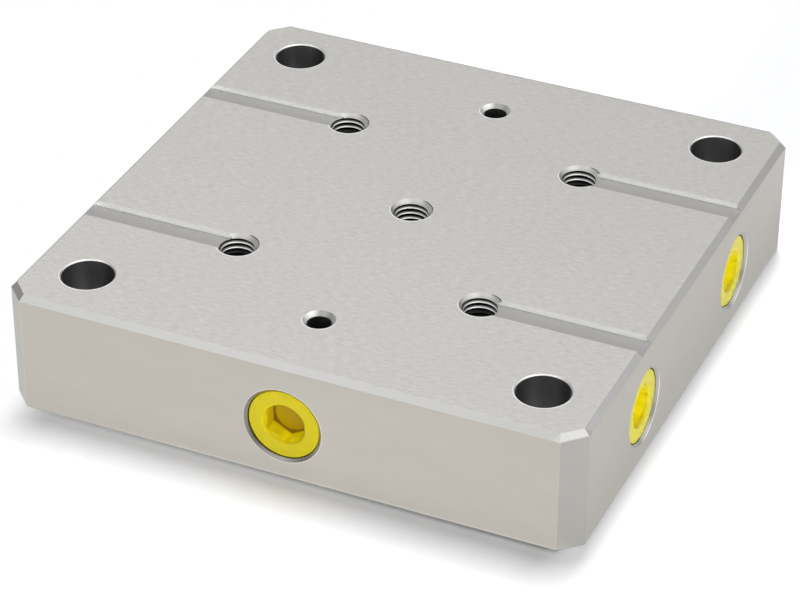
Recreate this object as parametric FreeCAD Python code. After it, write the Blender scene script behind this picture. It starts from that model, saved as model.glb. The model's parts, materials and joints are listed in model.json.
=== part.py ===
import FreeCAD, Part
import math
import os
from collections import namedtuple

# Vise base plate: a ground steel block that carries a clamping vise and feeds it through its own
# drillings, with a plastic screw plug in each side port.
# The origin is the centre of the underside, +Z is up, -Y is the front side and +X is the right side.
# Sizes are in millimetres.

# Plate
plate_length = 126.0
plate_depth = 126.0
plate_thickness = 27.5
corner_chamfer = 4.25
top_edge_chamfer = 1.25
bottom_edge_chamfer = 0.5

# Plain corner holes that fix the plate to a machine table
fixing_pitch_x = 100.0
fixing_pitch_y = 100.0
fixing_diameter = 11.0
fixing_mouth_chamfer = 0.3

# Threaded holes that hold the vise, plain at the thread's major diameter
screw_diameter = 8.0
screw_depth = 11.0
screw_mouth_chamfer = 0.5
screw_pitch = 54.5

# The two rows, front and rear, that the threaded holes, the grooves and the right ports share
row_pitch = 54.5

# Shallow grooves from the threaded holes out to the left and right edges
groove_width = 5.5
groove_depth = 1.0

# Countersunk transfer holes that feed the vise from below
transfer_pitch = 91.0
transfer_diameter = 5.0
transfer_mouth_chamfer = 0.9

# Screw plugs
plug_recess = 0.6
plug_neck_length = 1.5
plug_face_round = 0.25
plug_lead_chamfer = 0.8
socket_across_flats = 8.0
socket_depth = 4.0
socket_mouth_round = 0.8
socket_floor_thickness = 2.8
core_diameter = 9.0
core_depth = 3.2
core_floor_round = 0.6
plug_length = socket_depth + socket_floor_thickness + core_depth

# Side ports, plain at the thread's pitch diameter
port_diameter = 15.9
port_mouth_chamfer = 0.55
port_height = 12.7
port_run_out = 1.9
port_depth = plug_recess + plug_length + port_run_out

# Radial clearances of a plug in its port
thread_clearance = 0.1
neck_clearance = 0.25

# Feed channels that join the side ports and the transfer holes, below the centres of the ports
channel_diameter = 5.0
channel_drop = 3.7
channel_height = port_height - channel_drop

drill_point_angle = 118.0

# How far a cutting tool starts outside the face it cuts
overshoot = 1.0

CENTRE = FreeCAD.Vector(0, 0, 0)
UP = FreeCAD.Vector(0, 0, 1)
FRONT = FreeCAD.Vector(0, -1, 0)
REAR = FreeCAD.Vector(0, 1, 0)
RIGHT = FreeCAD.Vector(1, 0, 0)
SIDES = (-1, 1)

Port = namedtuple("Port", "name mouth outward channel_reach")


def ports():
    """The side ports, each with how far its feed channel runs in from the side it opens on."""
    half_length = plate_length / 2
    half_depth = plate_depth / 2
    half_row = row_pitch / 2
    to_row = half_depth - half_row
    return [
        Port("front", FreeCAD.Vector(0, -half_depth, port_height), FRONT, to_row),
        Port("rear", FreeCAD.Vector(0, half_depth, port_height), REAR, to_row),
        Port("right_front", FreeCAD.Vector(half_length, -half_row, port_height), RIGHT, half_length),
        Port("right_rear", FreeCAD.Vector(half_length, half_row, port_height), RIGHT, half_length),
    ]


def revolve(outline):
    """Solid turned about Z from an outline of (radius, height) points that starts and ends on the axis."""
    points = [FreeCAD.Vector(radius, 0, height) for radius, height in outline]
    wire = Part.makePolygon(points + points[:1])
    return Part.Face(wire).revolve(CENTRE, UP, 360)


def aim(shape, point, outward):
    """Copy of a shape that was drawn at the origin, opening or facing to +Z, placed on the plate."""
    placed = shape.copy()
    placed.Placement = FreeCAD.Placement(point, FreeCAD.Rotation(UP, outward))
    return placed


def point_height(diameter):
    """Height of the cone that a drill of this diameter leaves."""
    return diameter / 2 / math.tan(math.radians(drill_point_angle / 2))


def blind_hole(diameter, mouth_chamfer, depth):
    """Tool for a drilled hole with a 45 degree mouth and a drill point, opening at height 0."""
    radius = diameter / 2
    return revolve([
        (0, overshoot),
        (radius + mouth_chamfer + overshoot, overshoot),
        (radius, -mouth_chamfer),
        (radius, -depth),
        (0, -depth - point_height(diameter)),
    ])


def through_hole(diameter, mouth_chamfer, length):
    """Tool for a plain hole with a 45 degree mouth at both ends, from height 0 down."""
    radius = diameter / 2
    mouth_radius = radius + mouth_chamfer + overshoot
    return revolve([
        (0, overshoot),
        (mouth_radius, overshoot),
        (radius, -mouth_chamfer),
        (radius, mouth_chamfer - length),
        (mouth_radius, -length - overshoot),
        (0, -length - overshoot),
    ])


def upright_edges(shape):
    """Straight edges along Z."""
    return [edge for edge in shape.Edges if math.hypot(edge.BoundBox.XLength, edge.BoundBox.YLength) < 1e-6]


def edges_at_height(shape, height):
    """Edges that lie wholly at one height."""
    return [edge for edge in shape.Edges if all(abs(end.Z - height) < 1e-6 for end in edge.Vertexes)]


def block():
    """The plain block with its bevelled corners and edges."""
    corner = FreeCAD.Vector(-plate_length / 2, -plate_depth / 2, 0)
    body = Part.makeBox(plate_length, plate_depth, plate_thickness, corner)
    body = body.makeChamfer(corner_chamfer, upright_edges(body))
    body = body.makeChamfer(top_edge_chamfer, edges_at_height(body, plate_thickness))
    return body.makeChamfer(bottom_edge_chamfer, edges_at_height(body, 0))


def four_places(pitch_x, pitch_y):
    """The corners of a rectangle of holes on the top face."""
    return [FreeCAD.Vector(x * pitch_x / 2, y * pitch_y / 2, plate_thickness) for x in SIDES for y in SIDES]


def fixing_holes():
    """Four plain holes through the corners."""
    hole = through_hole(fixing_diameter, fixing_mouth_chamfer, plate_thickness)
    return [aim(hole, place, UP) for place in four_places(fixing_pitch_x, fixing_pitch_y)]


def screw_holes():
    """Blind threaded holes, four on the rows and one at the centre."""
    hole = blind_hole(screw_diameter, screw_mouth_chamfer, screw_depth)
    centre = FreeCAD.Vector(0, 0, plate_thickness)
    return [aim(hole, place, UP) for place in four_places(screw_pitch, row_pitch) + [centre]]


def grooves():
    """Four grooves, each from a threaded hole out through the edge beside it."""
    run = plate_length / 2 + overshoot - screw_pitch / 2
    groove = Part.makeBox(run, groove_width, groove_depth + overshoot)
    groove.translate(FreeCAD.Vector(0, -groove_width / 2, -groove_depth))
    starts = {1: screw_pitch / 2, -1: -screw_pitch / 2 - run}
    cuts = []
    for x in SIDES:
        for y in SIDES:
            cut = groove.copy()
            cut.translate(FreeCAD.Vector(starts[x], y * row_pitch / 2, plate_thickness))
            cuts.append(cut)
    return cuts


def transfer_holes():
    """Two countersunk holes that drop from the top face into the feed channels."""
    hole = blind_hole(transfer_diameter, transfer_mouth_chamfer, plate_thickness - channel_height)
    return [aim(hole, FreeCAD.Vector(0, y * transfer_pitch / 2, plate_thickness), UP) for y in SIDES]


def port_holes():
    """The drilled side ports with their chamfered mouths."""
    hole = blind_hole(port_diameter, port_mouth_chamfer, port_depth)
    return [aim(hole, port.mouth, port.outward) for port in ports()]


def feed_channels():
    """A channel drilled in from the floor of each port, until it meets the channel that crosses it."""
    cuts = []
    for port in ports():
        floor = port.mouth - port.outward * port_depth - UP * channel_drop
        hole = blind_hole(channel_diameter, 0, port.channel_reach - port_depth)
        cuts.append(aim(hole, floor, port.outward))
    return cuts


def base_plate():
    """The finished plate."""
    cuts = fixing_holes() + screw_holes() + grooves() + transfer_holes() + port_holes() + feed_channels()
    return block().cut(cuts).removeSplitter()


def hexagon_socket():
    """Tool for the straight hexagonal hole, with two of its flats across X."""
    corner_radius = socket_across_flats / 2 / math.cos(math.pi / 6)
    angles = [math.pi / 6 + turn * math.pi / 3 for turn in range(6)]
    corners = [FreeCAD.Vector(math.cos(angle), math.sin(angle), 0) * corner_radius for angle in angles]
    prism = Part.Face(Part.makePolygon(corners + corners[:1])).extrude(UP * (socket_depth + overshoot))
    prism.translate(UP * -socket_depth)
    return prism


def socket_mouth():
    """Tool for the rounded mouth that leads a key into the socket."""
    flat_radius = socket_across_flats / 2
    mouth_radius = flat_radius + socket_mouth_round
    middle = socket_mouth_round * (1 - math.sqrt(0.5))
    rim = FreeCAD.Vector(mouth_radius, 0, 0)
    bend = FreeCAD.Vector(flat_radius + middle, 0, -middle)
    throat = FreeCAD.Vector(flat_radius, 0, -socket_mouth_round)
    axis_foot = FreeCAD.Vector(0, 0, -socket_mouth_round)
    outline = Part.Wire([
        Part.Arc(rim, bend, throat).toShape(),
        Part.makeLine(throat, axis_foot),
        Part.makeLine(axis_foot, CENTRE),
        Part.makeLine(CENTRE, rim),
    ])
    return Part.Face(outline).revolve(CENTRE, UP, 360)


def core_pocket():
    """Tool for the round pocket in the inner end that keeps the moulded walls even."""
    height = core_depth + overshoot
    pocket = Part.makeCylinder(core_diameter / 2, height)
    pocket = pocket.makeFillet(core_floor_round, edges_at_height(pocket, height))
    pocket.translate(UP * (-plug_length - overshoot))
    return pocket


def port_plug():
    """Screw plug with its face at height 0: a plain neck, then a shank that is plain where the thread is."""
    neck_radius = port_diameter / 2 - neck_clearance
    shank_radius = port_diameter / 2 - thread_clearance
    body = revolve([
        (0, 0),
        (neck_radius, 0),
        (neck_radius, -plug_neck_length),
        (shank_radius, -plug_neck_length),
        (shank_radius, plug_lead_chamfer - plug_length),
        (shank_radius - plug_lead_chamfer, -plug_length),
        (0, -plug_length),
    ])
    body = body.makeFillet(plug_face_round, edges_at_height(body, 0))
    return body.cut([hexagon_socket(), socket_mouth(), core_pocket()]).removeSplitter()


def build():
    """Write one file per piece."""
    pieces = {"base_plate": base_plate()}
    plug = port_plug()
    for port in ports():
        face = port.mouth - port.outward * plug_recess
        pieces["port_plug_" + port.name] = aim(plug, face, port.outward)
    os.makedirs("parts", exist_ok=True)
    for name, shape in pieces.items():
        shape.exportStep("parts/" + name + ".step")
        print(name, "valid" if shape.isValid() else "INVALID", len(shape.Solids), round(shape.Volume, 1))


build()
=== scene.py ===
import json
import math

import bmesh
import bpy
from mathutils import Matrix, Vector


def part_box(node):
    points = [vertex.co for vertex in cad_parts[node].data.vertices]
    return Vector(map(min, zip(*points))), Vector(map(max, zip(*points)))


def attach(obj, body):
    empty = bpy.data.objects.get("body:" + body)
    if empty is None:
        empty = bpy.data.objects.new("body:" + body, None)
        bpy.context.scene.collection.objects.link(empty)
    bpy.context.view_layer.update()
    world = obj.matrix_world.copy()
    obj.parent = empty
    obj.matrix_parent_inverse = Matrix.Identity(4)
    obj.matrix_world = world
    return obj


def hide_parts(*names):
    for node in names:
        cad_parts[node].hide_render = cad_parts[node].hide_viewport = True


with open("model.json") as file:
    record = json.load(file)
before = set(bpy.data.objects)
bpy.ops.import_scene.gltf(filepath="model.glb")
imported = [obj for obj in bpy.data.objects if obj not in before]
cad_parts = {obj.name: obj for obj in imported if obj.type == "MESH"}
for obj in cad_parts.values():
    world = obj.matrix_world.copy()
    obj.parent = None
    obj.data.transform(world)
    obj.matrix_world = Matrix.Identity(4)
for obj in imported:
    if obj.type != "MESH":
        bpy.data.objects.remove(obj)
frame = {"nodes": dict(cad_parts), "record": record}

bl_info = {
    "name": "Vise base plate",
    "version": (1, 0, 0),
    "blender": (4, 5, 0),
    "location": "3D View > Sidebar > Vise plate",
    "description": "Dresses a ground steel vise base plate: its finishes, threads and screw plugs",
    "category": "Object",
}

MM = 0.001
SIDES = (-1, 1)
UP = Vector((0, 0, 1))

# The frame's faces and mounts
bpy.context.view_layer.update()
PLATE_LOW, PLATE_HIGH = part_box("base_plate")
PLATE_TOP = PLATE_HIGH.z
PLATE_MIDDLE = (PLATE_LOW + PLATE_HIGH) / 2
MOUNTS = {mount["name"]: mount for mount in frame["record"]["mounts"]}


def mount_place(name):
    """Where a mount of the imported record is, in metres."""
    return Vector(MOUNTS[name]["pos_m"])


PORTS = ("front", "rear", "right_front", "right_rear")

# The plate in millimetres, the unit of its finishes. The frame gives these heights and half distances.
TOP = PLATE_TOP / MM
HALF = PLATE_HIGH.x / MM
HALF_SCREWS = MOUNTS["vise_screws"]["dims"]["spacing_x_mm"] / 2
HALF_ROW = MOUNTS["vise_screws"]["dims"]["spacing_y_mm"] / 2
HALF_FIXING = MOUNTS["fixing_holes"]["dims"]["spacing_x_mm"] / 2
HALF_TRANSFER = mount_place("transfer_rear").y / MM
PORT_HEIGHT = mount_place("port_front").z / MM
FIXING_RADIUS = MOUNTS["fixing_holes"]["dims"]["hole_r_mm"]

# The frame doesn't give these radii, edges and the depth of a threaded hole's tip.
FIXING_MOUTH = 5.8
TRANSFER_RADIUS = 2.5
TRANSFER_MOUTH = 3.4
PORT_RADIUS = 7.95
PORT_CHAMFER = 0.55
PORT_MOUTH = PORT_RADIUS + PORT_CHAMFER
CORNER_FLAT = 4.25
TOP_CHAMFER = 1.25
FOOT_CHAMFER = 0.5
SCREW_TIP = 13.55

# How far a thread's ridge reaches into its wall
GRIP = 0.03 * MM
# How near to a height or radius an edge is picked
CLOSE = 0.01 * MM
# Edges of a turn of thread
THREAD_EDGES = 96
# Edges round a plug. Its hexagon has as many: some round each corner, the rest along the flats.
PLUG_EDGES = 144
CORNER_EDGES = 4


def length(name, description, size):
    """A size in millimetres that a user may change, kept in metres."""
    return bpy.props.FloatProperty(
        name=name, description=description, default=size * MM, min=0, unit="LENGTH", precision=5)


def share(name, description, default):
    """A number from 0 to 1 that a user may change."""
    return bpy.props.FloatProperty(name=name, description=description, default=default, min=0, max=1)


def colour(name, description, red, green, blue):
    """A colour that a user may change."""
    return bpy.props.FloatVectorProperty(
        name=name, description=description, default=(red, green, blue), subtype="COLOR", size=3, min=0, max=1)


def angle(name, description, degrees):
    """An angle that a user may change."""
    return bpy.props.FloatProperty(
        name=name, description=description, default=math.radians(degrees), subtype="ANGLE")


def strength(name, description, default):
    """A light's strength that a user may change."""
    return bpy.props.FloatProperty(name=name, description=description, default=default, min=0)


class ScrewThreadSizes(bpy.types.PropertyGroup):
    """The M8 threads in the top face."""
    major: length("Major diameter", "Across the roots of the thread", 8.0)
    minor: length("Minor diameter", "Across the crests of the thread", 6.9)
    pitch: length("Pitch", "From turn to turn", 1.25)
    crest: length("Crest", "Width of the flat on top of the thread", 0.12)
    root: length("Root", "Width of the flat between two turns", 0.12)
    depth: length("Depth", "How far down the thread runs", 9.77)
    mouth: length("Countersink", "Diameter of the countersink", 9.0)
    groove_width: length("Groove width", "Width of the grooves", 5.5)
    groove_depth: length("Groove depth", "Depth of the grooves", 1.0)


class PortThreadSizes(bpy.types.PropertyGroup):
    """The threads of the side ports and their plugs."""
    bore: length("Port bore", "Diameter of the port between the turns", 15.9)
    port_crest: length("Port crests", "Diameter across the crests in the port", 15.1)
    plug_crest: length("Plug crests", "Diameter across the crests of a plug", 15.7)
    plug_root: length("Plug roots", "Diameter across the roots of a plug", 14.8)
    pitch: length("Pitch", "From turn to turn", 1.337)
    port_ridge: length("Port ridge", "Width of a turn at the wall of the port", 0.62)
    port_top: length("Port ridge top", "Width of a turn at its crest", 0.22)
    plug_gap: length("Plug groove", "Width of the groove between a plug's turns", 0.86)
    plug_floor: length("Plug groove floor", "Width of that groove at its floor", 0.3)
    relief: length("Relief", "Plain stretch at the mouth of a port", 2.3)
    port_depth: length("Port thread depth", "How far in the port's thread runs", 11.6)


class PlugSizes(bpy.types.PropertyGroup):
    """The yellow screw plugs."""
    recess: length("Recess", "How far a plug's face lies in the plate", 0.6)
    neck: length("Neck diameter", "Diameter of the plain neck behind the face", 15.55)
    neck_length: length("Neck length", "Length of the plain neck", 1.5)
    face_round: length("Face rounding", "Radius round the face", 0.25)
    overall: length("Length", "Length of a plug", 10.0)
    lead: length("Lead chamfer", "Chamfer at the inner end", 0.8)
    across_flats: length("Across flats", "Size of the hexagon key", 8.0)
    socket_depth: length("Socket depth", "Depth of the hexagon", 4.0)
    socket_corner: length("Socket corner", "Radius of the hexagon's corners", 0.3)
    socket_floor: length("Socket floor", "Radius round the floor of the hexagon", 0.25)
    mouth: length("Mouth", "Diameter of the round mouth of the socket", 9.3)
    mouth_round: length("Mouth rounding", "Radius round that mouth", 0.3)
    throat: length("Throat", "Diameter where the mouth turns hexagonal", 8.9)
    throat_depth: length("Throat depth", "How deep the throat is", 0.4)
    mouth_depth: length("Mouth depth", "How deep it is hexagonal", 1.0)
    core: length("Core diameter", "Diameter of the pocket in the inner end", 9.0)
    core_depth: length("Core depth", "Depth of that pocket", 3.2)
    core_round: length("Core rounding", "Radius round its floor", 0.6)


class SteelFinish(bpy.types.PropertyGroup):
    """The plate's tones and how matt it is, which differ with how each face was cut. Some tones are painted
    light and shade.
    """
    top: colour("Top", "Surface-ground top", 0.60, 0.585, 0.565)
    side: colour("Sides", "Ground sides", 0.652, 0.626, 0.583)
    # Painted reflection: the far top of the right side drawn lighter
    lit_side: colour("Lit side", "The right side's far end", 0.717, 0.69, 0.667)
    corner: colour("Corner flats", "Milled corner flats", 0.645, 0.635, 0.61)
    milled: colour("Grooves", "Floors of the grooves, and the lower chamfer", 0.405, 0.398, 0.39)
    # Painted highlight: the groove walls drawn near white, as lit
    lit_groove_wall: colour("Groove walls", "Bright walls of the grooves", 0.95, 0.95, 0.95)
    chamfer: colour("Chamfers", "Milled edges, and those of the right ports", 0.615, 0.61, 0.60)
    # Painted shade: the dark line under the right of the front side
    foot: colour("Foot", "The dark line under the right of the front side", 0.05, 0.05, 0.04)
    cone: colour("Countersinks", "Countersinks of the threaded holes", 0.59, 0.58, 0.57)
    # Turning marks in the countersinks, and painted shade at their outer edge
    mark: colour("Turning marks", "Dark rings in those countersinks", 0.05, 0.05, 0.05)
    # Painted highlight on thread crests, rims and edges
    crest: colour("Thread crests", "Bright crests and rims", 0.9, 0.9, 0.88)
    # Painted shade on the thread flanks and on the left chamfer
    flank: colour("Thread flanks", "Shaded flanks, and the chamfer on the left", 0.30, 0.30, 0.29)
    # Painted shade in the thread roots and deep in the holes
    root_shade: colour("Thread roots", "The dark below the threads", 0.02, 0.02, 0.02)
    bore: colour("Bores", "Drilled walls", 0.37, 0.37, 0.385)
    # Painted shade: the front and rear port chamfers drawn darker than the right ones
    port: colour("Port chamfers", "Turned chamfers of the front and rear ports", 0.35, 0.34, 0.31)
    crescent: colour("Port shade", "The shade below the front and rear plugs", 0.04, 0.03, 0.02)
    # Painted glint on the lower rims of the right ports
    glint: colour("Port glint", "The glint on the right ports' rims", 1.0, 1.0, 0.99)
    top_roughness: share("Top roughness", "How matt the ground top is", 0.36)
    side_roughness: share("Side roughness", "How matt the sides are", 0.36)
    milled_roughness: share("Groove roughness", "How matt the milled floors are", 0.5)
    grain: share("Grain", "Contrast of the grinding marks", 0.25)
    relief: length("Grain depth", "How deep the grinding marks are", 0.0025)


class PlasticFinish(bpy.types.PropertyGroup):
    """The plugs' plastic, with painted light and shade in and around the sockets."""
    body: colour("Plastic", "Moulded yellow plastic", 0.86, 0.72, 0.006)
    # Painted light: the plugs on the right side drawn paler
    lit_plastic: colour("Pale plastic", "The plastic on the right side, facing the light", 0.92, 0.82, 0.05)
    # Painted shade deep in the sockets and on their left walls
    deep: colour("Deep plastic", "The plastic deep in a socket and on its left", 0.62, 0.43, 0.0005)
    # Painted shade where a front or rear socket meets its floor
    seam: colour("Socket seam", "Where a front or rear socket meets its floor", 0.3, 0.15, 0.0)
    # Painted light: the right sockets drawn lighter, and glowing a little
    lit_right_socket: colour("Right sockets", "Inside the sockets of the right side", 0.84, 0.76, 0.003)
    # Painted highlight: a glint on the mouths of the right sockets
    glint: colour("Socket glint", "The glint on the mouths of those sockets", 0.98, 0.93, 0.4)
    roughness: share("Roughness", "How matt the plastic is", 0.32)
    relief: length("Waviness", "How deep the waves of the moulding are", 0.02)


class StageSizes(bpy.types.PropertyGroup):
    """Where the camera stands, the floor and the light."""
    camera_turn: angle("Turn", "How far round to the right the camera stands", 24.047)
    camera_rise: angle("Rise", "How far up the camera stands", 33.501)
    camera_roll: angle("Roll", "How far the camera leans", 0.165)
    camera_distance: length("Distance", "From the camera to where it looks", 638.42)
    aim_right: length("Aim right", "How far right of the middle it looks", 11.81)
    aim_front: length("Aim front", "How far in front of the middle it looks", 32.47)
    focal: bpy.props.FloatProperty(
        name="Focal length", description="On a sensor 36 mm wide", default=142.74, subtype="DISTANCE_CAMERA")
    floor: length("Floor", "Length of the floor's sides", 4000)
    key: strength("Key", "Power of the lamp above, in watts", 7.8)
    fill: strength("Fill", "Power of the lamp in front, in watts", 3.3)
    sky: strength("Sky", "Strength of the even light", 0.15)
    glow: share("Floor glow", "How far the floor's shadow is lifted", 0.03)
    floor_tone: colour("Floor", "The floor as it takes the shadow", 0.89, 0.895, 0.915)
    mirrored_front: colour("Mirrored front", "The floor as the plate's front mirrors it", 0.82, 0.81, 0.79)
    # Painted shadow in reflection: darker near the plate
    mirrored_right: colour("Mirrored right", "The floor as the right side mirrors it", 0.68, 0.68, 0.67)
    mirrored_far: colour("Mirrored far right", "The same, farther out", 0.79, 0.79, 0.78)


SETTINGS = {
    "vise_screw_threads": ScrewThreadSizes,
    "vise_port_threads": PortThreadSizes,
    "vise_plugs": PlugSizes,
    "vise_steel": SteelFinish,
    "vise_plastic": PlasticFinish,
    "vise_stage": StageSizes,
}


class Value:
    """A number that a shader works out over a surface, so that expressions on it add Math nodes."""

    def __init__(self, shader, socket):
        self.shader = shader
        self.socket = socket

    def maths(self, operation, *others):
        """This number and others, joined by one Math node."""
        return self.shader.node("Math", dict(enumerate([self, *others])), operation=operation)[0]

    def __add__(self, other):
        return self.maths("ADD", other)

    def __mul__(self, other):
        return self.maths("MULTIPLY", other)

    def __sub__(self, other):
        return self.maths("SUBTRACT", other)

    def __rsub__(self, other):
        return (self * -1) + other

    def __abs__(self):
        return self.maths("ABSOLUTE")

    __radd__ = __add__
    __rmul__ = __mul__

    def least(self, other):
        """The smaller of two numbers."""
        return self.maths("MINIMUM", other)

    def most(self, other):
        """The larger of two numbers."""
        return self.maths("MAXIMUM", other)

    def root(self):
        """Square root."""
        return self.maths("SQRT")

    def rises(self, start, end):
        """0 below start, 1 above end, and smooth between. With end below start it falls."""
        inputs = {"Value": self, "From Min": start, "From Max": end}
        return self.shader.node("MapRange", inputs, interpolation_type="SMOOTHSTEP", clamp=True)[0]

    def climbs(self, start, end):
        """0 below start, 1 above end, and straight between."""
        inputs = {"Value": self, "From Min": start, "From Max": end}
        return self.shader.node("MapRange", inputs, clamp=True)[0]

    def beyond(self, edge, soft=0.02):
        """1 past an edge and 0 short of it."""
        return self.rises(edge - soft, edge + soft)

    def short_of(self, edge, soft=0.02):
        """1 short of an edge and 0 past it."""
        return self.rises(edge + soft, edge - soft)

    def within(self, middle, reach, soft):
        """1 where this number is within reach of a middle, falling to 0 over a soft edge."""
        return abs(self - middle).rises(reach + soft, reach)


class Shader:
    """The node tree of a material or a world."""

    def __init__(self, owner):
        owner.use_nodes = True
        self.tree = owner.node_tree
        self.tree.nodes.clear()

    def node(self, kind, inputs=None, **settings):
        """Adds a node, sets it up, fills its sockets and returns its outputs as Values."""
        made = self.tree.nodes.new("ShaderNode" + kind)
        for name, setting in settings.items():
            setattr(made, name, setting)
        for name, given in (inputs or {}).items():
            if isinstance(given, Value):
                self.tree.links.new(given.socket, made.inputs[name])
            else:
                made.inputs[name].default_value = given
        return [Value(self, output) for output in made.outputs]

    def coat(self, mask, tone):
        """Lays a tone over the surface's own where a mask is 1."""
        self.tone = self.mix(mask, self.tone, tone)

    def ramp(self, factor, stops):
        """A grey that goes straight from stop to stop: pairs of place and grey."""
        ramped = self.node("ValToRGB", {"Fac": factor})[0]
        elements = ramped.socket.node.color_ramp.elements
        while len(elements) < len(stops):
            elements.new(1)
        for element, (place, grey) in zip(elements, stops):
            element.position = place
            element.color = (grey, grey, grey, 1)
        return ramped

    def mix(self, factor, first, second):
        """Colours mixed by a number from 0 to 1."""
        inputs = {0: factor, 6: painted(first), 7: painted(second)}
        return self.node("Mix", inputs, data_type="RGBA")[2]

    def scaled(self, tone, factor):
        """A colour made lighter or darker by a number."""
        inputs = {0: tone if isinstance(tone, Value) else tuple(tone), "Scale": factor}
        return self.node("VectorMath", inputs, operation="SCALE")[0]

    def towards(self, direction, aim):
        """The cosine of the angle between a direction and an aim."""
        along = tuple(Vector(aim).normalized())
        return self.node("VectorMath", {0: direction, 1: along}, operation="DOT_PRODUCT")[1]

    def place(self):
        """The place on the object in millimetres, as three numbers and one vector."""
        object_place = self.node("TexCoord")[3]
        vector = self.scaled(object_place, 1 / MM)
        return [*self.node("SeparateXYZ", {0: vector}), vector]

    def noise(self, vector, stretch, detail=2.0, roughness=0.5):
        """Noise from 0 to 1 whose waves per millimetre are given for each direction."""
        moved = self.node("Mapping", {"Vector": vector, "Scale": stretch})[0]
        inputs = {"Vector": moved, "Scale": 1.0, "Detail": detail, "Roughness": roughness}
        return self.node("TexNoise", inputs)[0]

    def bump(self, height, distance):
        """A normal that follows a height from 0 to 1, as deep as the distance."""
        return self.node("Bump", {"Height": height, "Distance": distance, "Strength": 1.0})[0]

    def surface(self, **sockets):
        """The finished surface, with its shader's sockets by name."""
        inputs = {name.replace("_", " "): given for name, given in sockets.items()}
        made = self.node("BsdfPrincipled", inputs)[0]
        self.node("OutputMaterial", {"Surface": made})


def painted(tone):
    """A colour as a socket takes it."""
    return tone if isinstance(tone, Value) else (*tone, 1.0)


def new_shader(name):
    """A new material and its shader."""
    material = bpy.data.materials.new(name)
    return material, Shader(material)


def millimetres(distance):
    """A size in the units that the materials work in."""
    return distance / MM


def from_axis(across, along):
    """Distance from a hole's axis, out of two distances across it."""
    return (across * across + along * along).root()


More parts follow.
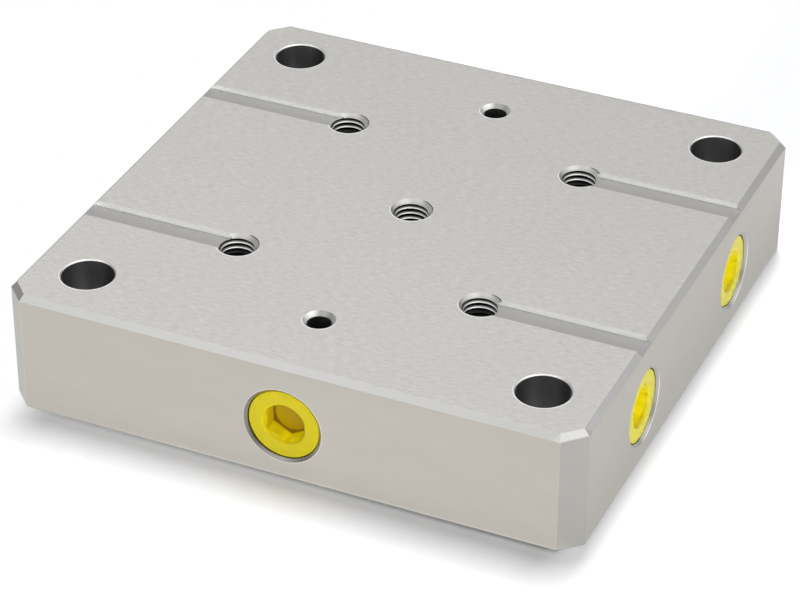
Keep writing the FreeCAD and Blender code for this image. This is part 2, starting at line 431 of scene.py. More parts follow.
class PlateSurface:
    """What the plate's finish is made of: distances in millimetres, masks and grain."""

    def __init__(self, shader, screw):
        self.x, self.y, self.z, self.place = shader.place()
        self.far_x = abs(self.x)
        self.far_y = abs(self.y)
        self.thread_crest = millimetres(screw.minor / 2)
        self.screw_mouth = millimetres(screw.mouth / 2)
        self.measure_holes()
        self.mask_faces(millimetres(screw.groove_width / 2), TOP - millimetres(screw.groove_depth))
        self.mask_holes()
        self.add_grain(shader)

    def measure_holes(self):
        """How far a point is from the nearest hole of each kind, behind it and to its right."""
        self.from_row = abs(self.far_y - HALF_ROW)
        self.past_screw = self.far_x - HALF_SCREWS
        self.from_centre = from_axis(self.x, self.y)
        self.from_screw = from_axis(self.past_screw, self.from_row).least(self.from_centre)
        self.from_fixing = from_axis(self.far_x - HALF_FIXING, self.far_y - HALF_FIXING)
        self.from_transfer = from_axis(self.x, self.far_y - HALF_TRANSFER)
        above_port = self.z - PORT_HEIGHT
        self.from_cross_port = from_axis(self.x, above_port) + self.far_y.rises(HALF - 2, HALF - 3) * HALF
        self.from_right_port = from_axis(self.from_row, above_port) + self.x.rises(HALF - 2, HALF - 3) * HALF
        off_centre = 1 - self.from_centre.rises(7, 6)
        end = self.y.maths("SIGN")
        side = self.x.maths("SIGN")
        self.behind_screw = self.y - end * off_centre * HALF_ROW
        self.right_of_screw = self.x - side * off_centre * HALF_SCREWS
        self.behind_fixing = self.y - end * HALF_FIXING
        self.behind_transfer = self.y - end * HALF_TRANSFER

    def mask_faces(self, groove_half, groove_floor):
        """The top, the grooves, the corner flats and the chamfers."""
        self.on_top = self.z.beyond(TOP - 0.04)
        self.off_top = 1 - self.on_top
        in_run = self.past_screw.rises(0, 0.1)
        in_width = self.from_row.rises(groove_half + 0.02, groove_half - 0.01)
        self.groove_floor = in_width * self.z.within(groove_floor, 0.03, 0.02) * in_run
        on_wall = self.from_row.within(groove_half, 0.02, 0.02) * self.z.beyond(groove_floor + 0.045, 0.015)
        before_edge = self.x.short_of(HALF - TOP_CHAMFER, 0.05)
        self.groove_wall = on_wall * self.off_top * in_run * before_edge
        # Painted highlight: a bright strip on the top along the far edge of each groove
        beside_groove = self.behind_screw.within(groove_half + 0.22, 0.17, 0.12)
        self.groove_edge_highlight = beside_groove * self.past_screw.rises(2.5, 5) * self.on_top

        past_flat = self.far_x + self.far_y - (2 * HALF - CORNER_FLAT)
        self.corner = past_flat.beyond(-0.2, 0.05)
        facet = past_flat.beyond(-TOP_CHAMFER * math.sqrt(2))
        round_top = self.far_x.most(self.far_y).beyond(HALF - TOP_CHAMFER).most(facet)
        below_top = self.z.beyond(TOP - TOP_CHAMFER) * self.off_top
        self.chamfer = round_top * below_top * (1 - self.groove_floor)
        self.left_chamfer = self.x.short_of(TOP_CHAMFER + 0.1 - HALF, 0.05) * (1 - facet)
        self.right_chamfer = self.x.beyond(HALF - TOP_CHAMFER, 0.05) * (1 - facet)
        self.front_chamfer = self.y.short_of(TOP_CHAMFER - HALF, 0.05) * (1 - facet)

    def mask_holes(self):
        """The walls of the plain holes, the ports, and the painted glint on the rims of the right ports."""
        self.fixing_bore = self.from_fixing.short_of(FIXING_RADIUS + 0.04) * self.off_top
        self.transfer_bore = self.from_transfer.short_of(TRANSFER_RADIUS + 0.04) * self.off_top
        self.transfer_bore = self.transfer_bore * self.z.rises(1, 1.1)
        self.in_port = self.from_cross_port.least(self.from_right_port).rises(PORT_MOUTH + 0.03, PORT_MOUTH)
        # Painted glint on the lower rims of the right ports
        lower_right = self.z.rises(18, 11) * self.behind_screw.rises(-1, 3)
        self.right_rim_glint = self.from_right_port.within(PORT_MOUTH + 0.1, 0.13, 0.05) * lower_right

    def add_grain(self, shader):
        """Grinding marks along the length, fainter marks on the sides, and broad clouds."""
        self.coarse = shader.noise(self.place, (0.5, 2.0, 2.0), detail=3.0, roughness=0.62)
        self.fine = shader.noise(self.place, (1.5, 14.0, 14.0), roughness=0.6)
        self.clouds = shader.noise(self.place, (0.045, 0.06, 0.06))
        self.side_grain = shader.noise(self.place, (0.12, 0.12, 0.3), detail=4.0, roughness=0.55)


def dress_faces(shader, at, tones):
    """The ground top and sides, the corner flats and the floors of the grooves, with a painted reflection
    that lightens the far top of the right side.
    """
    right_side = at.x.beyond(HALF - 0.2, 0.1)
    # Painted reflection: lighter towards the far top of the right side
    lit = right_side * at.z.climbs(6, 20) * (at.y.climbs(28, 58) * 0.8 + 0.2)
    shader.tone = tones.side
    shader.coat(lit, tones.lit_side)
    shader.coat(at.on_top, tones.top)
    shader.coat(at.corner * at.off_top, tones.corner)
    shader.coat(at.groove_floor, tones.milled)


def dress_edges(shader, at, tones):
    """The chamfers round the top, with painted light on the right chamfer and painted shade on the front and
    left ones, and the walls and far edges of the grooves.
    """
    # Painted light on the right chamfer and painted shade on the front chamfer
    right_light = at.right_chamfer * (at.y.climbs(HALF, -HALF) * 0.15 + 0.02)
    front_shade = at.front_chamfer * at.x.climbs(0, HALF) * 0.12
    chamfer = shader.scaled(tones.chamfer, 1 + right_light - front_shade)
    # Painted shade: the left chamfer takes the dark flank tone
    shader.coat(at.chamfer, shader.mix(at.left_chamfer, chamfer, tones.flank))
    # Painted highlight on the groove walls
    shader.coat(at.groove_wall, tones.lit_groove_wall)
    # Painted highlight along the far edges of the grooves
    shader.coat(at.groove_edge_highlight * at.fine.climbs(0.3, 0.7) * 0.7, tones.crest)


def dress_foot(shader, at, tones):
    """The lower chamfer, painted dark as shade along the right of the front, and a painted highlight line
    above it.
    """
    front = at.y.short_of(FOOT_CHAMFER - HALF, 0.1)
    # Painted shade on the lower chamfer, darkest towards the right of the front
    foot = shader.mix(at.x.climbs(-55, 45) * front, tones.milled, tones.foot)
    # Painted highlight: a light line above the lower chamfer
    light_line = at.z.within(FOOT_CHAMFER + 0.3, 0.1, 0.08) * front * at.x.climbs(-50, -20) * (1 - at.corner)
    shader.coat(light_line * 0.4, tones.crest)
    shader.coat(at.z.short_of(FOOT_CHAMFER + 0.04), foot)


def dress_screw_holes(shader, at, tones):
    """The M8 holes: painted highlights on the crests and painted shade in the roots, growing darker with
    depth, and a countersink with turning marks, painted light on its right and a painted shaded ring at its
    outer edge.
    """
    crest, mouth = at.thread_crest, at.screw_mouth
    in_hole = at.from_screw.short_of(mouth + 0.04) * at.off_top * at.z.beyond(TOP - SCREW_TIP, 0.05)
    in_hole = in_hole * (1 - at.groove_floor) * (1 - at.groove_wall)
    # Painted shade: below a lit depth the threads turn dark
    lit_depth = 3.4 + at.from_centre.rises(6, 5) * 1.5
    depth_shade = (at.z + lit_depth).rises(TOP, TOP - 0.6)
    # Painted highlight on the crests, painted shade on the flanks and in the roots
    flank = shader.mix(at.from_screw.rises(crest + 0.07, crest + 0.19), tones.crest, tones.flank)
    thread = shader.mix(at.from_screw.rises(crest + 0.15, crest + 0.45).most(depth_shade), flank, tones.root_shade)
    # Painted light on the right of each countersink
    lit = at.right_of_screw.rises(0.5, 4).most(at.from_screw.short_of(crest + 0.13, 0.04))
    lip = shader.mix(lit, tones.cone, tones.crest)
    # Painted shade: a dark ring at the outer edge of each countersink, on its right
    edge_shade_ring = at.from_screw.within(mouth - 0.08, 0.08, 0.03)
    edge_shade_ring = edge_shade_ring * at.right_of_screw.rises(0.2, 1.6) * at.behind_screw.rises(-1.5, 0)
    inner_mark = at.from_screw.within(mouth - 0.38, 0.03, 0.03) * at.right_of_screw.rises(0.5, 2.5) * 0.6
    low_mark = at.from_screw.within(mouth - 0.68, 0.03, 0.03) * 0.35
    lip = shader.mix(edge_shade_ring.most(inner_mark).most(low_mark), lip, tones.mark)
    on_cone = (at.z - at.from_screw).within(TOP - mouth, 0.03, 0.03)
    shader.coat(in_hole, shader.mix(on_cone, thread, lip))


def dress_ports(shader, at, tones):
    """The chamfers of the ports, painted darker as shade on the front and rear, and a painted shade crescent
    below the front and rear plugs.
    """
    # Painted shade: darker chamfers at the front and rear ports
    chamfer = shader.mix(at.x.beyond(HALF - 0.95, 0.05), tones.port, tones.chamfer)
    shader.coat(at.in_port, chamfer)
    # Painted shade: a dark crescent below and left of the front and rear plugs
    lower_left = (at.x + at.z - PORT_HEIGHT).rises(-8, -11)
    crescent = at.from_cross_port.within(PORT_RADIUS, 0.07, 0.07) * lower_left
    shader.coat(crescent * at.far_y.beyond(HALF - 0.95, 0.05) * 0.85, tones.crescent)


def dress_mouths(shader, at, tones):
    """The countersinks of the transfer holes and the broken edges of the fixing holes, both with painted
    highlights.
    """
    countersink = at.from_transfer.short_of(TRANSFER_MOUTH + 0.075, 0.025) * (1 - at.transfer_bore)
    countersink = countersink * at.off_top * at.z.beyond(TOP - 1.45, 0.05)
    # Painted highlight: the transfer countersinks bright at their left and right
    shader.coat(countersink, shader.mix(at.far_x.rises(1.0, 3.2), tones.milled, tones.crest))
    # Painted highlight on the broken edges of the fixing holes
    broken_edge = at.from_fixing.short_of(FIXING_MOUTH + 0.075, 0.025) * at.off_top
    shader.coat(broken_edge, tones.crest)


def rim_line(distance, mouth, behind, brightest):
    """A painted highlight line just outside a mouth, from behind the hole's axis to where it is brightest."""
    return distance.within(mouth + 0.1, 0.09, 0.05) * behind.rises(1, brightest)


def dress_rims(shader, at, tones):
    """Painted highlights: the bright lines just outside the mouths of the holes and ports, and the painted
    glint on the right ports' rims.
    """
    screw_rim = rim_line(at.from_screw, at.screw_mouth, at.behind_screw, -2)
    fixing_rim = rim_line(at.from_fixing, FIXING_MOUTH, at.behind_fixing, -2)
    transfer_rim = rim_line(at.from_transfer, TRANSFER_MOUTH, at.behind_transfer, -1.5)
    top_rim = screw_rim.most(fixing_rim).most(transfer_rim) * at.on_top
    # Painted highlight: a rim line round the front and rear ports, brighter on the right
    port_rim = at.from_cross_port.within(PORT_MOUTH + 0.13, 0.08, 0.06) * (at.x.rises(-8, -3) * 0.5 + 0.15)
    shader.coat(top_rim.most(port_rim), tones.crest)
    shader.coat(at.right_rim_glint, tones.glint)


def dress_bores(shader, at, tones):
    """The drilled walls, with painted light at the left and right of the fixing holes."""
    inside_port = at.far_y.short_of(HALF - PORT_CHAMFER + 0.01) * at.far_x.short_of(HALF - 2, 0.1)
    bore = at.fixing_bore.most(at.transfer_bore).most(at.in_port * inside_port)
    # Painted light on the left and right walls of each fixing hole
    lit = abs(at.far_x - HALF_FIXING).rises(2.5, 5.4) * at.fixing_bore
    shader.coat(bore, shader.mix(lit * 0.4, tones.bore, tones.crest))


def steel_brightness(at, tones):
    """Grain and clouds, a painted shade line along the rear edge, and painted shade low on the front."""
    top_marks = (at.coarse - 0.5) * (tones.grain * 2.0) + (at.fine - 0.5) * tones.grain
    side_marks = (at.side_grain - 0.5) * (tones.grain * 0.3)
    top_share = at.on_top.most(at.groove_floor * 0.3)
    marks = top_share * top_marks + (1 - top_share) * side_marks + (at.clouds - 0.5) * 0.035
    # Painted shade: a dark line along the rear edge of the top
    rear_line = at.y.rises(HALF - TOP_CHAMFER - 0.5, HALF - TOP_CHAMFER - 0.2) * at.on_top
    # Painted shade: the front side darker towards its foot
    front_foot = at.y.short_of(0.2 - HALF, 0.1) * at.z.climbs(9, 2)
    return 1 + marks - rear_line * 0.22 - front_foot * 0.05


def steel_roughness(at, tones):
    """Matt where it is milled, and a little more or less so along the grinding marks."""
    milled = at.groove_floor.most(at.corner * at.off_top)
    roughness = at.on_top * (tones.top_roughness - tones.side_roughness) + tones.side_roughness
    roughness = roughness + milled * (tones.milled_roughness - tones.side_roughness)
    return roughness + (at.coarse - 0.5) * 0.06 + at.groove_wall * 0.3


def ground_steel(context):
    """The plate's steel: ground top and sides, milled grooves and edges, drilled bores and cut threads, with
    painted light and shade.
    """
    tones = context.scene.vise_steel
    material, shader = new_shader("ground_steel_finish")
    at = PlateSurface(shader, context.scene.vise_screw_threads)
    for dress in (
            dress_faces, dress_edges, dress_foot, dress_screw_holes, dress_ports, dress_mouths, dress_rims,
            dress_bores):
        dress(shader, at, tones)
    relief = (at.coarse * 0.6 + at.fine * 0.4) * at.on_top + at.side_grain * 0.3 * at.off_top
    shader.surface(
        Base_Color=shader.scaled(shader.tone, steel_brightness(at, tones)),
        Metallic=1.0,
        Roughness=steel_roughness(at, tones),
        Normal=shader.bump(relief, tones.relief),
        # Painted glint: the right ports' rims also glow
        Emission_Color=shader.scaled(tones.crest, at.right_rim_glint * 0.3),
        Emission_Strength=1.0,
    )
    return material


def yellow_plastic(context):
    """The plugs' plastic: even and smooth, with the faint waviness of a moulding, and painted light and shade
    in and around the sockets.
    """
    tones = context.scene.vise_plastic
    sizes = context.scene.vise_plugs
    material, shader = new_shader("yellow_plastic_finish")
    x, y, z, place = shader.place()
    flat = millimetres(sizes.across_flats / 2)
    mouth = millimetres(sizes.mouth / 2)
    floor = millimetres(sizes.recess + sizes.socket_depth)
    height = z - PORT_HEIGHT
    behind = y - y.maths("SIGN") * HALF_ROW
    from_middle = from_axis(x, height).least(from_axis(abs(y) - HALF_ROW, height))
    inward = HALF - x.most(abs(y))
    on_right = x.rises(20, 30)
    in_socket = from_middle.rises(5.2, 4.8)
    cross_socket = in_socket * (1 - on_right)

    # Painted light inside the right sockets
    lit_right_socket = inward.rises(1.15, 1.75) * in_socket * on_right
    # Painted highlight: a glint on the upper front of each right socket's mouth
    upper_front = behind.rises(0.5, -2) * height.rises(-3, 0)
    glint = from_middle.within(mouth + 0.1, 0.14, 0.12) * upper_front * on_right
    # Painted shade at the socket floors and on the left walls of the front and rear sockets
    depth_shade = inward.rises(floor - 0.45, floor - 0.2) * in_socket
    shaded_left_wall = x.rises(0.25 - flat, 0.05 - flat) * inward.rises(1.2, 1.7) * cross_socket
    # Painted shade in the crease at the socket floor
    seam = inward.rises(floor - 0.5, floor - 0.25) * from_middle.rises(flat - 0.5, flat - 0.15) * cross_socket
    # Painted light: the lower right walls of the front and rear sockets, which also glow
    low_right = (height + x * 0.4).rises(-1, -2) * x.rises(-2.2, 0) * cross_socket
    on_wall = from_middle.rises(flat - 0.4, flat - 0.1) * inward.rises(0.9, 1.3)
    lit_lower_wall = on_wall * inward.rises(floor, floor - 0.3) * low_right
    # Painted light: these lit walls and the right sockets glow
    glow = lit_lower_wall * 0.2 + lit_right_socket * (height.rises(0.5, -4) * 0.12 + 0.08)

    shader.tone = tones.body
    # Painted light: paler plastic on the right side
    shader.coat(x.rises(HALF - 1.2, HALF - 0.7), tones.lit_plastic)
    shader.coat(lit_right_socket, tones.lit_right_socket)
    shader.coat(glint * 0.8, tones.glint)
    # Painted shade deep in the sockets
    shader.coat(depth_shade.most(shaded_left_wall * 0.6), tones.deep)
    shader.coat(seam, tones.seam)
    waves = shader.noise(place, (0.6, 0.6, 0.6))
    pores = shader.noise(place, (9.0, 9.0, 9.0))
    shader.surface(
        Base_Color=shader.scaled(shader.tone, 0.97 + waves * 0.06),
        Roughness=tones.roughness + (pores - 0.5) * 0.08,
        Normal=shader.bump(waves * 0.8 + pores * 0.2, tones.relief),
        Subsurface_Weight=0.12,
        Subsurface_Radius=(0.0015, 0.0012, 0.0001),
        Subsurface_Scale=1.0,
        IOR=1.49,
        Specular_IOR_Level=0.26,
        # Painted light: the glow of the lit socket walls and right sockets
        Emission_Color=shader.scaled(tones.body, glow),
        Emission_Strength=1.0,
    )
    return material


def material_named(context, name):
    """A finish that is made once and then found by its name."""
    makers = {"ground_steel": ground_steel, "yellow_plastic": yellow_plastic}
    return bpy.data.materials.get(name + "_finish") or makers[name](context)


def alone():
    """Nothing is selected, so that the next operator acts only on what is added."""
    bpy.ops.object.select_all(action="DESELECT")


def chosen(piece):
    """Only this piece is selected and active."""
    alone()
    piece.select_set(True)
    bpy.context.view_layer.objects.active = piece


def edit(piece):
    """Goes into edit mode on a piece, with all of it selected."""
    chosen(piece)
    bpy.ops.object.mode_set(mode="EDIT")
    bpy.ops.mesh.select_all(action="SELECT")


def leave_edit():
    """Back to object mode."""
    bpy.ops.object.mode_set(mode="OBJECT")


def pick(piece, kind, test):
    """In edit mode, selects only the vertices, edges or faces that pass a test."""
    bpy.ops.mesh.select_mode(type=kind)
    bpy.ops.mesh.select_all(action="DESELECT")
    shape = bmesh.from_edit_mesh(piece.data)
    parts = {"VERT": shape.verts, "EDGE": shape.edges, "FACE": shape.faces}[kind]
    for part in parts:
        part.select = test(part)
    shape.select_flush_mode()
    bmesh.update_edit_mesh(piece.data)


def with_modifier(piece, kind, **settings):
    """Adds a modifier to a piece, sets it up and applies it."""
    chosen(piece)
    bpy.ops.object.modifier_add(type=kind)
    modifier = piece.modifiers[-1]
    for name, setting in settings.items():
        setattr(modifier, name, setting)
    bpy.ops.object.modifier_apply(modifier=modifier.name)


def cut(piece, tool):
    """Cuts a piece with a tool, which is then removed."""
    with_modifier(piece, "BOOLEAN", operation="DIFFERENCE", object=tool, solver="EXACT")
    bpy.data.objects.remove(tool)


def place_in_mesh(piece):
    """Moves a piece's place, turn and size from its object into its mesh."""
    chosen(piece)
    bpy.ops.object.transform_apply(location=True, rotation=True, scale=True)
    return piece


def copied(piece, name, matrix):
    """A copy of a piece, with its own mesh, carried to another place."""
    chosen(piece)
    bpy.ops.object.duplicate(linked=False)
    copy = bpy.context.object
    copy.name = name
    copy.data.name = name
    copy.matrix_world = matrix
    return place_in_mesh(copy)


def finished(piece, context, material, body):
    """Gives a piece its material, smooth curves and the body that it rides on."""
    edit(piece)
    bpy.ops.mesh.remove_doubles(threshold=0.0005 * MM)
    bpy.ops.mesh.normals_make_consistent(inside=False)
    leave_edit()
    bpy.ops.object.shade_smooth_by_angle(angle=math.radians(32))
    piece.data.materials.clear()
    piece.data.materials.append(material_named(context, material))
    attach(piece, body)


def helix(name, wide_radius, narrow_radius, wide, narrow, pitch, turns, start):
    """A ridge that winds up the Z axis: wide at one radius, narrow at the other, closed at both ends."""
    alone()
    middle = (wide_radius + narrow_radius) / 2
    bpy.ops.mesh.primitive_plane_add(size=1, location=(middle, 0, start), rotation=(math.pi / 2, 0, 0))
    ridge = bpy.context.object
    ridge.name = name
    ridge.data.name = name
    ridge.scale = (abs(wide_radius - narrow_radius), wide, 1)
    place_in_mesh(ridge)
    edit(ridge)
    outward = 1 if narrow_radius > wide_radius else -1
    pick(ridge, "VERT", lambda vertex: (vertex.co.x - middle) * outward > 0)
    bpy.ops.transform.resize(value=(1, 1, narrow / wide), center_override=(middle, 0, start))
    bpy.ops.mesh.select_mode(type="FACE")
    bpy.ops.mesh.select_all(action="SELECT")
    bpy.ops.mesh.delete(type="ONLY_FACE")
    leave_edit()
    with_modifier(
        ridge, "SCREW", axis="Z", angle=2 * math.pi, screw_offset=pitch, iterations=turns,
        steps=THREAD_EDGES, render_steps=THREAD_EDGES, use_merge_vertices=False)
    edit(ridge)
    bpy.ops.mesh.fill_holes(sides=4)
    bpy.ops.mesh.select_all(action="SELECT")
    bpy.ops.mesh.normals_make_consistent(inside=False)
    leave_edit()
    return ridge


def cone(wide_radius, narrow_radius, height, top):
    """A cone that hangs down from a height, wide end up."""
    alone()
    bpy.ops.mesh.primitive_cone_add(
        vertices=THREAD_EDGES, radius1=narrow_radius, radius2=wide_radius, depth=height,
        location=(0, 0, top - height / 2))
    return place_in_mesh(bpy.context.object)


def block(low, high):
    """A box between two corners."""
    alone()
    bpy.ops.mesh.primitive_cube_add(size=1, location=(Vector(low) + Vector(high)) / 2)
    tool = bpy.context.object
    tool.scale = Vector(high) - Vector(low)
    return place_in_mesh(tool)


class VISEPLATE_OT_steel(bpy.types.Operator):
    """Give the plate its ground steel"""
    bl_idname = "viseplate.steel"
    bl_label = "Ground steel"

    def execute(self, context):
        plate = frame["nodes"]["base_plate"]
        plate.data.materials.clear()
        plate.data.materials.append(material_named(context, "ground_steel"))
        return {"FINISHED"}


class VISEPLATE_OT_screw_threads(bpy.types.Operator):
    """Cut the M8 threads into the five holes of the top face"""
    bl_idname = "viseplate.screw_threads"
    bl_label = "Screw threads"

    def execute(self, context):
        sizes = context.scene.vise_screw_threads
        spare = 3 * sizes.pitch
        turns = math.ceil((sizes.depth + sizes.pitch) / sizes.pitch)
        thread = helix(
            "screw_thread", sizes.major / 2 + GRIP, sizes.minor / 2, sizes.pitch - sizes.root, sizes.crest,
            sizes.pitch, turns, -sizes.depth)
        reach = sizes.mouth / 2 - sizes.minor / 2 + 0.3 * MM
        groove_half = sizes.groove_width / 2
        places = {"centre": (0, 0)}
        for x, side in zip(SIDES, ("left", "right")):
            for y, end in zip(SIDES, ("front", "rear")):
                places[f"{side}_{end}"] = (x, y)
        for name, (x, y) in places.items():
            piece = copied(thread, "screw_thread_" + name, Matrix())
            cut(piece, cone(sizes.mouth / 2 + spare, sizes.mouth / 2 - reach, reach + spare, spare))
            if x:
                outward = x * sizes.major
                low = (min(0, outward), -groove_half, -sizes.groove_depth)
                cut(piece, block(low, (max(0, outward), groove_half, spare)))
            piece.location = Vector((x * HALF_SCREWS, y * HALF_ROW, TOP)) * MM
            finished(place_in_mesh(piece), context, "ground_steel", "plate")
        bpy.data.objects.remove(thread)
        return {"FINISHED"}


def port_matrix(name):
    """Carries what was drawn about the Z axis, with the mouth at height 0, into a port of the plate."""
    mount = MOUNTS["port_" + name]
    turn = UP.rotation_difference(Vector(mount["axis"])).to_matrix().to_4x4()
    return Matrix.Translation(mount_place("port_" + name)) @ turn


def port_turns(sizes):
    """How many whole turns of thread a port has room for."""
    return math.floor((sizes.port_depth - sizes.relief) / sizes.pitch)


class VISEPLATE_OT_port_threads(bpy.types.Operator):
    """Cut the pipe threads into the four side ports"""
    bl_idname = "viseplate.port_threads"
    bl_label = "Port threads"

    def execute(self, context):
        sizes = context.scene.vise_port_threads
        turns = port_turns(sizes)
        thread = helix(
            "port_thread", sizes.bore / 2 + GRIP, sizes.port_crest / 2, sizes.port_ridge, sizes.port_top,
            sizes.pitch, turns, -sizes.relief - turns * sizes.pitch)
        for name in PORTS:
            piece = copied(thread, "port_thread_" + name, port_matrix(name))
            finished(piece, context, "ground_steel", "plate")
        bpy.data.objects.remove(thread)
        return {"FINISHED"}


def loop_at(height, test):
    """A test for edges that lie at one height and whose ends pass a test on their place."""
    return lambda edge: all(abs(end.co.z - height) < CLOSE and test(end.co) for end in edge.verts)


def circle_at(height, radius):
    """A test for the edges of a circle about the axis."""
    return loop_at(height, lambda place: abs(place.xy.length - radius) < 2 * CLOSE)


def resize_about(height, factor):
    """Scales what is selected about the axis."""
    bpy.ops.transform.resize(value=(factor, factor, 1), center_override=(0, 0, height))


def extrude_down(distance):
    """Extrudes what is selected along the axis, and leaves the new end selected."""
    bpy.ops.mesh.extrude_region_move(TRANSFORM_OT_translate={"value": (0, 0, -distance)})


def plug_shank(sizes, crest):
    """The outside of a plug: face, neck, shank, lead chamfer and cored inner end."""
    alone()
    neck = sizes.neck / 2
    bpy.ops.mesh.primitive_cylinder_add(
        vertices=PLUG_EDGES, radius=neck, depth=sizes.neck_length, location=(0, 0, -sizes.neck_length / 2))
    plug = place_in_mesh(bpy.context.object)
    plug.name = "plug"
    plug.data.name = "plug"
    edit(plug)
    pick(plug, "FACE", lambda face: face.normal.z < -0.9)
    extrude_down(0)
    resize_about(-sizes.neck_length, crest / neck)
    extrude_down(sizes.overall - sizes.neck_length - sizes.lead)
    extrude_down(sizes.lead)
    resize_about(-sizes.overall, (crest - sizes.lead) / crest)
    extrude_down(0)
    resize_about(-sizes.overall, sizes.core / 2 / (crest - sizes.lead))
    extrude_down(-sizes.core_depth)
    pick(plug, "EDGE", circle_at(sizes.core_depth - sizes.overall, sizes.core / 2))
    bpy.ops.mesh.bevel(offset=sizes.core_round, segments=5, affect="EDGES")
    pick(plug, "EDGE", circle_at(0, neck))
    bpy.ops.mesh.bevel(offset=sizes.face_round, segments=4, affect="EDGES")
    leave_edit()
    return plug


def plug_socket(plug, sizes):
    """Opens the face of a plug into its hexagon, by a mouth that flows from round to hexagonal."""
    edit(plug)
    near_axis = sizes.neck / 4
    pick(plug, "FACE", lambda face: face.normal.z > 0.9 and face.calc_center_median().xy.length < near_axis)
    bpy.ops.mesh.delete(type="ONLY_FACE")
    rim = sizes.neck / 2 - sizes.face_round
    pick(plug, "EDGE", circle_at(0, rim))
    extrude_down(0)
    resize_about(0, sizes.mouth / 2 / rim)
    extrude_down(sizes.throat_depth)
    resize_about(-sizes.throat_depth, sizes.throat / sizes.mouth)
    pick(plug, "EDGE", circle_at(0, sizes.mouth / 2))
    bpy.ops.mesh.bevel(offset=sizes.mouth_round, segments=5, affect="EDGES")
    corner = sizes.across_flats / 2 / math.cos(math.pi / 6)
    bpy.ops.mesh.primitive_circle_add(
        vertices=6, radius=corner, fill_type="NGON", location=(0, 0, -sizes.mouth_depth))
    cut_back = sizes.socket_corner * math.tan(math.pi / 6)
    bpy.ops.mesh.bevel(offset=cut_back, segments=CORNER_EDGES, affect="VERTICES")
    bpy.ops.mesh.delete(type="ONLY_FACE")
    hexagon = loop_at(-sizes.mouth_depth, lambda place: place.xy.length < corner + CLOSE)
    pick(plug, "EDGE", lambda edge: hexagon(edge) and edge.calc_length() > sizes.across_flats / 4)
    bpy.ops.mesh.subdivide(number_cuts=PLUG_EDGES // 6 - CORNER_EDGES - 1)
    pick(plug, "EDGE", hexagon)
    extrude_down(sizes.socket_depth - sizes.mouth_depth)
    bpy.ops.mesh.edge_face_add()
    pick(plug, "EDGE", loop_at(-sizes.socket_depth, lambda place: True))
    bpy.ops.mesh.bevel(offset=sizes.socket_floor, segments=4, affect="EDGES")
    throat = circle_at(-sizes.throat_depth, sizes.throat / 2)
    pick(plug, "EDGE", lambda edge: throat(edge) or hexagon(edge))
    bpy.ops.mesh.bridge_edge_loops(number_cuts=3, interpolation="LINEAR")
    bpy.ops.mesh.select_all(action="SELECT")
    bpy.ops.mesh.normals_make_consistent(inside=False)
    leave_edit()


class VISEPLATE_OT_plugs(bpy.types.Operator):
    """Make the four screw plugs and put them in their ports"""
    bl_idname = "viseplate.plugs"
    bl_label = "Screw plugs"

    def execute(self, context):
        sizes = context.scene.vise_plugs
        thread = context.scene.vise_port_threads
        plug = plug_shank(sizes, thread.plug_crest / 2)
        turns = math.ceil((sizes.overall - sizes.neck_length) / thread.pitch)
        seat = sizes.recess - thread.relief - port_turns(thread) * thread.pitch
        outside = 0.2 * MM
        groove = helix(
            "plug_groove", thread.plug_crest / 2 + outside, thread.plug_root / 2, thread.plug_gap,
            thread.plug_floor, thread.pitch, turns, seat)
        cut(plug, groove)
        plug_socket(plug, sizes)
        sink = Matrix.Translation((0, 0, -sizes.recess))
        for name in PORTS:
            piece = copied(plug, "screw_plug_" + name, port_matrix(name) @ sink)
            finished(piece, context, "yellow_plastic", "plug_" + name)
            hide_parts("port_plug_" + name)
        bpy.data.objects.remove(plug)
        return {"FINISHED"}


def white_floor(context):
    """A floor that is white to the eye and keeps the plate's shadow, with a painted shadow just in front of
    the plate and painted light that lifts the shadow beside it.
    """
    stage = context.scene.vise_stage
    material, shader = new_shader("stage_floor")
    seen = shader.node("LightPath")
    camera_ray, glossy_ray, transmission_ray = seen[0], seen[3], seen[6]
    x, y = shader.place()[:2]
    # Painted shadow: the floor darker just in front of the plate
    front_shadow = y.rises(-22 - HALF, -HALF) * x.rises(-15, 40) * x.rises(HALF, HALF - 9)
    matt_tone = shader.scaled(stage.floor_tone, 1 - front_shadow * 0.15)
    matt = shader.node("BsdfDiffuse", {"Color": matt_tone})[0]
    white = shader.node("Emission", {"Color": (1, 1, 1, 1), "Strength": 1.0})[0]
    # Painted light: the floor's shadow lifted towards white left and right of the plate
    left_lift = x.rises(11 - HALF, -2 - HALF)
    right_lift = x.rises(HALF - 8, HALF - 1) * 0.3
    far_lift = from_axis(x, y).rises(130, 240)
    lift = camera_ray * left_lift.most(right_lift).most(far_lift).most(stage.glow)
    lit = shader.node("MixShader", {0: lift, 1: matt, 2: white})[0]
    # Painted shadow in reflection: the floor that the right side mirrors is darker near the plate
    right = shader.mix(x.rises(HALF + 2, HALF + 14), stage.mirrored_right, stage.mirrored_far)
    tone = shader.mix(x.rises(HALF - 2, HALF), stage.mirrored_front, right)
    even = shader.node("Emission", {"Color": tone, "Strength": 1.0})[0]
    mirrored = glossy_ray.most(transmission_ray)
    out = shader.node("MixShader", {0: mirrored, 1: lit, 2: even})[0]
    shader.node("OutputMaterial", {"Surface": out})
    return material


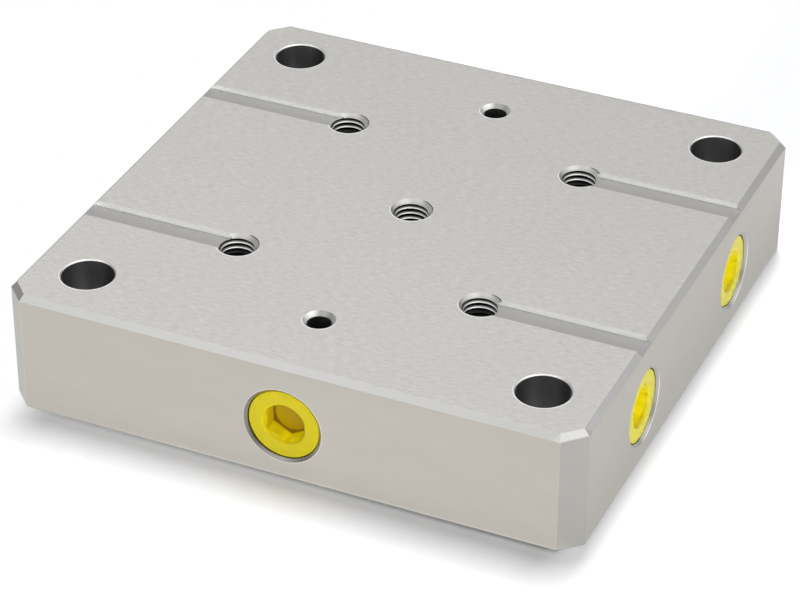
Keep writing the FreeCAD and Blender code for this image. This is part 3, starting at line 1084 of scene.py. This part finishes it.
def studio_sky(context):
    """Even light from all sides, and for mirrored rays five lights in a sky with a dark horizon."""
    stage = context.scene.vise_stage
    world = bpy.data.worlds.new("studio")
    context.scene.world = world
    shader = Shader(world)
    seen = shader.node("LightPath")
    camera_ray, glossy_ray = seen[0], seen[3]
    direction = shader.node("TexCoord")[0]
    height = shader.node("SeparateXYZ", {0: direction})[2]
    sky = shader.ramp(height, [(0.0, 0.28), (0.3, 0.32), (0.6, 0.54), (0.75, 0.9), (1.0, 1.0)])
    behind_left = shader.towards(direction, (-0.45, 0.55, 0.70)).climbs(0.72, 1.0) * 0.56
    behind_right = shader.towards(direction, (0.75, 0.5, 0.43)).climbs(0.85, 0.96) * 0.46
    above_front = shader.towards(direction, (-0.35, -0.56, 0.75)).climbs(0.85, 1.0) * 0.1
    above_right = shader.towards(direction, (0.60, -0.18, 0.78)).climbs(0.85, 1.0) * 0.8
    front = shader.towards(direction, (-0.25, -0.96, 0.12)).climbs(0.82, 0.97) * 3.8
    mirrored = sky + behind_left + behind_right + above_front + above_right + front
    even = shader.mix(glossy_ray, (stage.sky, stage.sky, stage.sky), mirrored)
    shown = shader.mix(camera_ray, even, (1, 1, 1))
    glow = shader.node("Background", {"Color": shown, "Strength": 1.0})[0]
    shader.node("OutputWorld", {"Surface": glow})


def softbox(name, place, width, depth, power):
    """A square lamp that faces the plate and is not mirrored in it."""
    light = bpy.data.lights.new(name, "AREA")
    light.shape = "RECTANGLE"
    light.size = width
    light.size_y = depth
    light.energy = power
    lamp = bpy.data.objects.new(name, light)
    lamp.visible_glossy = False
    lamp.location = place
    lamp.rotation_euler = (PLATE_MIDDLE - Vector(place)).to_track_quat("-Z", "Y").to_euler()
    bpy.context.scene.collection.objects.link(lamp)


def add_camera(context):
    """The camera, at the photograph's angle."""
    stage = context.scene.vise_stage
    lens = bpy.data.cameras.new("camera")
    lens.sensor_width = 36
    lens.lens = stage.focal
    lens.clip_start = 0.01
    lens.clip_end = 20
    camera = bpy.data.objects.new("camera", lens)
    camera.matrix_world = (
        Matrix.Translation((stage.aim_right, -stage.aim_front, PLATE_TOP))
        @ Matrix.Rotation(stage.camera_turn, 4, "Z")
        @ Matrix.Rotation(math.pi / 2 - stage.camera_rise, 4, "X")
        @ Matrix.Rotation(stage.camera_roll, 4, "Z")
        @ Matrix.Translation((0, 0, stage.camera_distance)))
    context.scene.collection.objects.link(camera)
    context.scene.camera = camera


class VISEPLATE_OT_stage(bpy.types.Operator):
    """Set up the floor, the light and the camera"""
    bl_idname = "viseplate.stage"
    bl_label = "Stage"

    def execute(self, context):
        stage = context.scene.vise_stage
        alone()
        gap = 0.02 * MM
        bpy.ops.mesh.primitive_plane_add(size=stage.floor, location=(0, 0, PLATE_LOW.z - gap))
        floor = place_in_mesh(context.object)
        floor.name = "stage_floor"
        floor.data.materials.append(white_floor(context))
        softbox("key", (-0.01, 0.2, 0.87), width=0.13, depth=0.37, power=stage.key)
        softbox("fill", (0.52, -0.6, 0.52), width=0.5, depth=0.5, power=stage.fill)
        studio_sky(context)
        add_camera(context)
        context.scene.view_settings.view_transform = "Standard"
        return {"FINISHED"}


class VISEPLATE_PT_panel(bpy.types.Panel):
    """The steps that make the vise base plate's looks, and their settings"""
    bl_idname = "VISEPLATE_PT_panel"
    bl_label = "Vise base plate"
    bl_space_type = "VIEW_3D"
    bl_region_type = "UI"
    bl_category = "Vise plate"

    def draw(self, context):
        for step in STEPS:
            self.layout.operator(step.bl_idname)
        for name, group in SETTINGS.items():
            box = self.layout.box()
            for setting in group.__annotations__:
                box.prop(getattr(context.scene, name), setting)


STEPS = (
    VISEPLATE_OT_stage, VISEPLATE_OT_steel, VISEPLATE_OT_screw_threads, VISEPLATE_OT_port_threads,
    VISEPLATE_OT_plugs)


def register():
    """Adds the settings, the operators and the panel to Blender."""
    for name, group in SETTINGS.items():
        bpy.utils.register_class(group)
        setattr(bpy.types.Scene, name, bpy.props.PointerProperty(type=group))
    for step in (*STEPS, VISEPLATE_PT_panel):
        bpy.utils.register_class(step)


def unregister():
    """Takes them out again."""
    for step in (VISEPLATE_PT_panel, *reversed(STEPS)):
        bpy.utils.unregister_class(step)
    for name, group in SETTINGS.items():
        delattr(bpy.types.Scene, name)
        bpy.utils.unregister_class(group)


def main():
    """Makes the whole scene."""
    register()
    bpy.ops.viseplate.stage()
    bpy.ops.viseplate.steel()
    bpy.ops.viseplate.screw_threads()
    bpy.ops.viseplate.port_threads()
    bpy.ops.viseplate.plugs()


if __name__ == "__main__":
    main()
